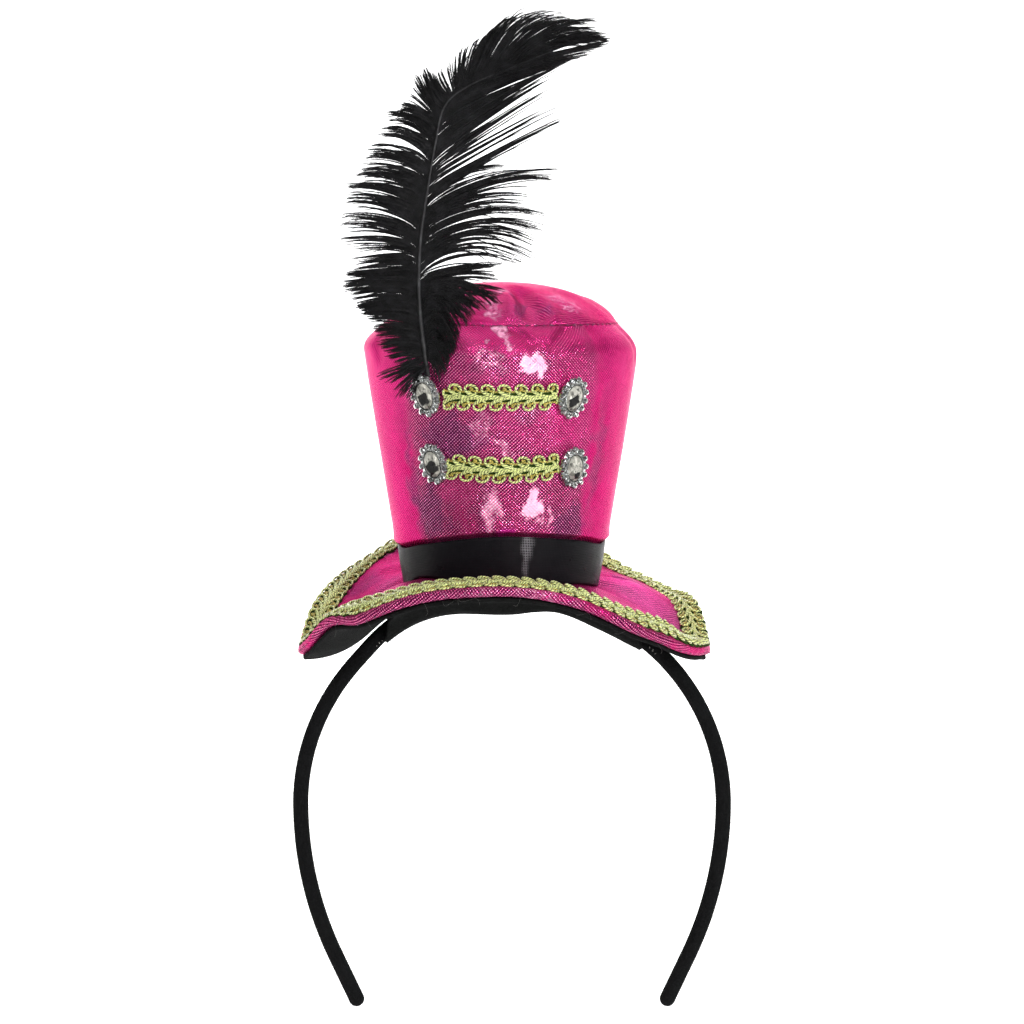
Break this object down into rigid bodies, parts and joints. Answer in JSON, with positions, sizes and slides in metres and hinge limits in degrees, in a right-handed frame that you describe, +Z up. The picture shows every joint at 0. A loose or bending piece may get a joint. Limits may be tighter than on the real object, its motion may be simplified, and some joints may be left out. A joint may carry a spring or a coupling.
{
  "type": "mini top hat headband",
  "caption": "Mini top hat with a flared crown, saddle brim edged in braid, satin ribbon, oval jewels and a curved plume, held on a thin round headband.",
  "frame": {"origin": "underside of the felt patch at the top of the headband, where the head touches it", "axes": "+Z up as worn, +X the wearer's left, +Y the back of the head"},
  "size_m": [0.1358, 0.1313, 0.3031],
  "materials": {
    "lame": "hot pink metallic cloth with a fine crossed weave and a crinkled shine",
    "satin": "black satin ribbon with a soft vertical sheen",
    "felt": "black felt with a short nap",
    "band_wrap": "black cloth wound round the rod, matt, with fine cross ribs",
    "gimp": "yellow-green gold cord braid with open loops",
    "gunmetal": "polished dark silver beads",
    "smoke_stone": "smoky grey cut stone with a foiled back",
    "feather": "black ostrich plume with fine glossy barbs"
  },
  "bodies": {
    "root": {"headband": "band_wrap", "felt_patch": "felt", "brim_felt": "felt", "brim": "lame", "crown_side": "lame", "crown_tip": "lame", "hat_band": "satin", "brim_braid": "gimp", "upper_front_braid": "gimp", "lower_front_braid": "gimp", "setting_upper_left": "gunmetal", "setting_lower_left": "gunmetal", "setting_upper_right": "gunmetal", "setting_lower_right": "gunmetal", "stone_upper_left": "smoke_stone", "stone_lower_left": "smoke_stone", "stone_upper_right": "smoke_stone", "stone_lower_right": "smoke_stone", "plume": "feather"}
  },
  "joints": []
}
